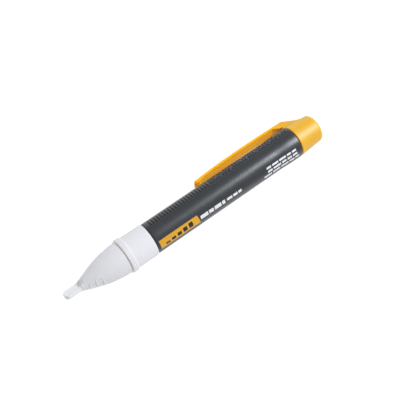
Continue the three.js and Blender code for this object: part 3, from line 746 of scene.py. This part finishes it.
blocks("print_line_a", [(25.0, 39.6, -33.5, -48.5, 31, 2.6, 4.6, 0.6, (9,))], ink_white)
blocks("print_line_b", [(40.8, 49.6, -35.5, -46.0, 4, 2.0, 3.2, 0.6, (9,))], ink_white)
blocks("print_rows", [(65.9, 84.3, -24.5, -32.0, 11, 2.4, 5.2, 0.7, (9,)), (66.1, 84.6, -38.5, -46.5, 12, 2.2, 4.8, 0.7, (9,)),
                      (63.6, 86.0, -54.0, -61.5, 13, 2.2, 5.0, 0.7, (9,))], ink_white)
ribs = []                                                 # a band of plain upright ribs, all one height
for i in range(22):
    x = 3.0 + 1.6 * i
    ribs.append(slab_on("d", ((x, 66.0), (x + 0.62, 66.0), (x + 0.62, 39.0), (x, 39.0)), barrel_radius, 0.06, 0.05, 0.7))
dark_band = join_parts("dark_print_large", ribs)
paint(dark_band, ink_matt)
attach(dark_band, "housing")
blocks("dark_print_small", [(38.5, 86.5, 51.0, 43.5, 22, 0.6, 1.3, 0.5, (5, 3, 7, 4)), (38.5, 86.5, 62.0, 54.5, 23, 0.6, 1.3, 0.5, (3, 6, 4, 2)),
                            (38.5, 80.0, 73.0, 65.5, 24, 0.6, 1.3, 0.5, (6, 2, 5))], ink_matt, 0.045)


# ------------------------------------------------------------------ cap and clip: one moulding
DROP = 27.5
d_dir = np.array([math.cos(math.radians(DROP)), -math.sin(math.radians(DROP))])     # clip direction in (y, z)
w_dir = np.array([math.sin(math.radians(DROP)), math.cos(math.radians(DROP))])      # across the clip, toward +Z


def clip_outer(x):
    t = (x - 34.5) / (90.4 - 34.5)
    return 10.95 * (1 - t) ** 2 + 2 * (1 - t) * t * 12.6 + 11.6 * t ** 2


def poly_sdf(P, px, py):
    """Signed distance to a closed polygon, negative inside. P (n,2)."""
    shape = px.shape
    px, py = px.ravel(), py.ravel()
    d = np.full(px.shape, 1e9)
    sign = np.ones(px.shape)
    n = len(P)
    for i in range(n):
        a, b = P[i], P[(i + 1) % n]
        ex, ey_ = b[0] - a[0], b[1] - a[1]
        wx, wy = px - a[0], py - a[1]
        t = np.clip((wx * ex + wy * ey_) / (ex * ex + ey_ * ey_ + 1e-18), 0, 1)
        d = np.minimum(d, (wx - ex * t) ** 2 + (wy - ey_ * t) ** 2)
        c1, c2, c3 = py >= a[1], py < b[1], ex * wy > ey_ * wx
        flip = (c1 & c2 & c3) | (~c1 & ~c2 & ~c3)
        sign = np.where(flip, -sign, sign)
    return (np.sqrt(d) * sign).reshape(shape)


cap_prof = np.array(rounded([
    (88.25, 7.1, 0), (88.25, 8.25, 0.45), (90.0, 8.09, 0), (92.5, 7.9, 0), (96.0, 7.67, 0), (99.0, 7.46, 0), (101.5, 7.27, 0.9), (102.6, 6.45, 0.85),
    (102.6, -1.0, 0), (100.3, -1.0, 0), (100.3, 5.4, 0.3), (96.2, 5.4, 0.15), (96.2, 7.1, 0.15), (88.25, 7.1, 0)], 6)[:-1])
xo = np.linspace(35.2, 84.2, 26)
side = [(34.5, clip_outer(34.5) - 0.72), (34.62, clip_outer(34.5) - 0.28)] + [(x, clip_outer(x)) for x in xo]
side += [q for q in rounded([(84.2, clip_outer(84.2), 0), (90.4, 11.6, 1.5), (94.1, 9.36, 1.5), (96.1, 8.27, 2.5), (99.0, 6.72, 0)], 8)[1:]]
side += [(99.0, 6.0), (88.3, 6.0), (88.3, 8.7)]
side += [q for q in rounded([(88.3, 8.7, 0), (87.3, 8.72, 0.5), (84.3, 10.72, 1.0), (80, clip_outer(80) - 1.15, 0)], 6)[1:]]
side += [(x, clip_outer(x) - 1.15) for x in np.linspace(78, 40.5, 20)]
side += [(38.7, clip_outer(38.7) - 1.27), (37.5, clip_outer(37.5) - 1.62), (36.4, clip_outer(36.4) - 1.76), (35.3, clip_outer(35.3) - 1.55), (34.7, clip_outer(34.5) - 1.1)]
side = np.array(side)


def half_width(x):
    return np.where(x < 50.5, 2.9 + 0.4 * sstep(34.5, 50.5, x), 3.3)


def moulding(x, u, w):
    rho = np.hypot(u, w)
    cap = poly_sdf(cap_prof, x, rho)
    rr = 0.32
    a = poly_sdf(side, x, u) + rr
    hw = half_width(x)
    # rounded corners of the free end in plan
    cx = np.maximum(36.3 - x, 0)
    b = np.where(x < 36.3, np.hypot(np.maximum(np.abs(w) - (hw - 1.8), 0), cx) - 1.8, np.abs(w) - hw) + rr
    arm = np.minimum(np.maximum(a, b), 0) + np.hypot(np.maximum(a, 0), np.maximum(b, 0)) - rr
    return join_solids(x, rho, cap, arm)


def join_solids(x, rho, cap, arm):
    k = 0.9
    h = np.clip(0.5 + 0.5 * (cap - arm) / k, 0, 1)
    d = cap * (1 - h) + arm * h - k * h * (1 - h)
    bore = np.maximum(rho - 7.1, x - 96.2)                     # keep the neck's room open
    pocket = np.maximum(rho - 5.4, x - 100.3)
    clear = np.maximum(rho - 8.62, x - 88.25)                  # and stay off the barrel
    return np.maximum(d, -np.minimum(np.minimum(bore, pocket), clear))


def moulding_grid(X, U, Wd):
    """The same shape on a grid: the flat sections are worked out once in 2-D and spread."""
    x, u, w = X[:, None, None], U[None, :, None], Wd[None, None, :]
    sx, su = np.meshgrid(X, U, indexing="ij")
    rr = 0.32
    a = poly_sdf(side, sx, su)[:, :, None] + rr
    hw = half_width(x)
    cx = np.maximum(36.3 - x, 0)
    b = np.where(x < 36.3, np.hypot(np.maximum(np.abs(w) - (hw - 1.8), 0), cx) - 1.8, np.abs(w) - hw) + rr
    a, b = np.broadcast_arrays(a, b)
    arm = np.minimum(np.maximum(a, b), 0) + np.hypot(np.maximum(a, 0), np.maximum(b, 0)) - rr
    rho = np.broadcast_to(np.hypot(u, w), arm.shape)
    # the round cap: sections of constant radius from a table
    rt = np.arange(0, 16, 0.04)
    tx, tr = np.meshgrid(X, rt, indexing="ij")
    table_ = poly_sdf(cap_prof, tx, tr)
    q = rho / 0.04
    i0 = np.clip(q.astype(int), 0, len(rt) - 2)
    fr = q - i0
    ii = np.arange(len(X))[:, None, None]
    cap = table_[ii, i0] * (1 - fr) + table_[ii, i0 + 1] * fr
    return join_solids(x, rho, cap, arm)


def surface_nets(f, X, Y, Z):
    """Quads on the zero level of f sampled on a rectilinear grid."""
    D = f(X, Y, Z)
    nx, ny, nz = D.shape
    neg = D < 0
    idx = -np.ones((nx - 1, ny - 1, nz - 1), int)
    c = np.zeros((nx - 1, ny - 1, nz - 1), int)
    for dx in (0, 1):
        for dy in (0, 1):
            for dz in (0, 1):
                c += neg[dx:nx - 1 + dx, dy:ny - 1 + dy, dz:nz - 1 + dz]
    active = (c > 0) & (c < 8)
    ii, jj, kk = np.nonzero(active)
    idx[ii, jj, kk] = np.arange(len(ii))
    acc = np.zeros((len(ii), 3)); cnt = np.zeros(len(ii))
    corners = [(a, b, g) for a in (0, 1) for b in (0, 1) for g in (0, 1)]
    for s in corners:
        for ax in range(3):
            if s[ax] == 1:
                continue
            e = list(s); e[ax] = 1
            d0 = D[ii + s[0], jj + s[1], kk + s[2]]
            d1 = D[ii + e[0], jj + e[1], kk + e[2]]
            m = (d0 < 0) != (d1 < 0)
            t = np.where(m, d0 / np.where(m, d0 - d1, 1), 0)
            p0 = np.stack([X[ii + s[0]], Y[jj + s[1]], Z[kk + s[2]]], 1)
            p1 = np.stack([X[ii + e[0]], Y[jj + e[1]], Z[kk + e[2]]], 1)
            acc += np.where(m[:, None], p0 + (p1 - p0) * t[:, None], 0)
            cnt += m
    V = acc / cnt[:, None]
    quads = []
    for ax in range(3):
        o = [1 if a == ax else 0 for a in range(3)]
        A = neg[: nx - o[0], : ny - o[1], : nz - o[2]]
        B = neg[o[0]:, o[1]:, o[2]:]
        i, j, k = np.nonzero(A != B)
        b1, b2 = [(1, 2), (2, 0), (0, 1)][ax]
        pos = np.stack([i, j, k], 1)
        ok = (pos[:, b1] > 0) & (pos[:, b2] > 0) & (pos[:, b1] < [nx, ny, nz][b1] - 1) & (pos[:, b2] < [nx, ny, nz][b2] - 1)
        pos = pos[ok]
        side_ = A[pos[:, 0], pos[:, 1], pos[:, 2]]
        def at(d1, d2):
            q = pos.copy(); q[:, b1] -= d1; q[:, b2] -= d2
            return idx[q[:, 0], q[:, 1], q[:, 2]]
        q = np.stack([at(1, 1), at(0, 1), at(0, 0), at(1, 0)], 1)
        q[~side_] = q[~side_][:, ::-1]
        quads.append(q)
    return V, np.concatenate(quads)


gx = np.concatenate([np.arange(33.9, 38.5, 0.2), np.arange(38.5, 81.5, 0.7), np.arange(81.5, 103.2, 0.2)])
gu = np.arange(-8.7, 12.7, 0.2)
gw = np.arange(-8.7, 8.8, 0.2)
V, Q = surface_nets(moulding_grid, gx, gu, gw)
for _ in range(3):                                             # settle the points on the true surface
    e = 0.02
    d = moulding(V[:, 0], V[:, 1], V[:, 2])
    g = np.stack([moulding(V[:, 0] + e, V[:, 1], V[:, 2]) - d, moulding(V[:, 0], V[:, 1] + e, V[:, 2]) - d, moulding(V[:, 0], V[:, 1], V[:, 2] + e) - d], 1) / e
    step = d[:, None] * g / (np.sum(g * g, 1) + 1e-6)[:, None]
    V = V - np.clip(step, -0.08, 0.08) * 0.8
pts = np.stack([V[:, 0], V[:, 1] * d_dir[0] + V[:, 2] * w_dir[0], V[:, 1] * d_dir[1] + V[:, 2] * w_dir[1]], 1)
capclip = fix_normals(make_mesh("cap_and_clip", W(pts), Q, sharp=60))
paint(capclip, yellow)
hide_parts("end_cap", "pocket_clip")
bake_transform(capclip)


# ------------------------------------------------------------------ cells, spring
def cell(tag, x0):
    L, R_ = 44.5, 5.25
    x1 = x0 + L
    rc = R_ - 0.45
    can = lathe(f"{tag}_cell_can_turned", rounded([
        (x0, 0), (x0, 1.9, 0.25), (x0 + 0.9, 1.9, 0.2), (x0 + 0.9, 3.4, 0.1), (x0 + 1.0, 3.6, 0.1), (x0 + 0.9, 4.45, 0.15), (x0 + 1.25, rc, 0.3),
        (x1 - 0.5, rc, 0.15), (x1 - 0.5, 4.3, 0.1), (x1 - 0.15, 4.2, 0.1), (x1 - 0.15, 3.9, 0.1), (x1, 3.7, 0.15), (x1, 0)], 4), seg=96, sharp=45)
    paint(can, steel)
    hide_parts(f"{tag}_cell_can")
    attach(can, f"{tag}_cell")
    jk = lathe(f"{tag}_cell_jacket_film", rounded([
        (x0 + 1.4, rc + 0.12, 0), (x0 + 1.4, R_, 0.25), (x1 - 13.0, R_, 0), (x1 - 12.9, R_, 0), (x1 - 0.7, R_, 0.3), (x1 - 0.7, rc + 0.12, 0), (x0 + 1.4, rc + 0.12, 0)], 4), seg=96, closed=True, sharp=45)
    jk.data.materials.clear()
    jk.data.materials.append(jacket.m)
    jk.data.materials.append(jacket_light.m)
    xs_ = np.array([p.center.x for p in jk.data.polygons])
    jk.data.polygons.foreach_set("material_index", (xs_ > W([x1 - 12.95, 0, 0])[0]).astype(np.int32))
    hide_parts(f"{tag}_cell_jacket")
    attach(jk, f"{tag}_cell")


cell("front", 2.0)
cell("rear", 2.0 + 44.5 + 0.3)

t = np.linspace(0, 1, 260)
ang = t * 3.6 * 2 * np.pi
sx0, sx1, wr = 91.6, 95.2, 0.3
sx = np.where(t < 0.12, sx0 + wr, np.where(t > 0.86, sx1 - wr, sx0 + wr + (sx1 - sx0 - 2 * wr) * (t - 0.12) / 0.74))
sx = np.convolve(np.pad(sx, 6, mode="edge"), np.ones(13) / 13, mode="valid")
rr_ = 1.9 + 2.6 * t
spring = tube_mesh("battery_spring_coil", np.stack([sx, rr_ * np.cos(ang), rr_ * np.sin(ang)], 1), 0.27, 14)
paint(spring, nickel)
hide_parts("battery_spring")
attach(spring, "cap")


# ------------------------------------------------------------------ floor, light
def floor_mesh():
    n = 41
    g = np.linspace(-1, 1, n)
    g = np.sign(g) * (0.6 * np.abs(g) + 5.4 * np.abs(g) ** 3)
    verts = [(x, y, FLOOR_Z - 0.00002) for y in g for x in g]
    faces = [(j * n + i, j * n + i + 1, (j + 1) * n + i + 1, (j + 1) * n + i) for j in range(n - 1) for i in range(n - 1)]
    return make_mesh("floor", verts, faces)


flo = floor_mesh()
pale = Mat("pale_floor")
f = pale.noise(30, 2, 0.5)
pale.set(Base_Color=pale.mix(f, srgb("#7A7A7B"), srgb("#7F7F80")), Roughness=0.9, Specular_IOR_Level=0.05, Emission_Color=(1, 1, 1, 1), Emission_Strength=0.93)
flo.data.materials.append(pale.m)

world = bpy.data.worlds.new("studio")
bpy.context.scene.world = world
world.use_nodes = True
bg = world.node_tree.nodes["Background"]
bg.inputs[0].default_value = (0.97, 0.985, 1.0, 1)
bg.inputs[1].default_value = 0.42


def strip(name, phi0, phi1, tilt, length, dist, radiance, colour=(1, 1, 1)):
    """Area light seen from the pen between two angles round its axis (from +Z toward -Y), leaning tilt degrees toward +X."""
    pm = math.radians((phi0 + phi1) / 2)
    tl = math.radians(tilt)
    n = np.array([math.sin(tl), -math.cos(tl) * math.sin(pm), math.cos(tl) * math.cos(pm)])
    c = np.array(W([45, 0, 0])) + n * dist
    width = 2 * dist * math.tan(math.radians(abs(phi1 - phi0) / 2))
    L = bpy.data.lights.new(name, "AREA")
    L.shape = "RECTANGLE"
    L.size = length
    L.size_y = width
    L.energy = radiance * math.pi * length * width
    L.color = colour
    ob = bpy.data.objects.new(name, L)
    zax = Vector(n)
    xax = Vector((1, 0, 0)) - zax * zax.x
    xax.normalize()
    yax = zax.cross(xax)
    m = Matrix.Identity(4)
    for i in range(3):
        m[i][0], m[i][1], m[i][2], m[i][3] = xax[i], yax[i], zax[i], c[i]
    ob.matrix_world = m
    bpy.context.scene.collection.objects.link(ob)
    return ob


strip("key", -10, 10, 36, 0.20, 0.6, 23.0, (0.955, 0.98, 1.03))
strip("low_fill", 72, 104, 0, 0.7, 0.7, 0.08)

bpy.context.scene.view_settings.view_transform = "Standard"
bpy.context.scene.view_settings.look = "None"
bpy.context.scene.view_settings.exposure = 0.0
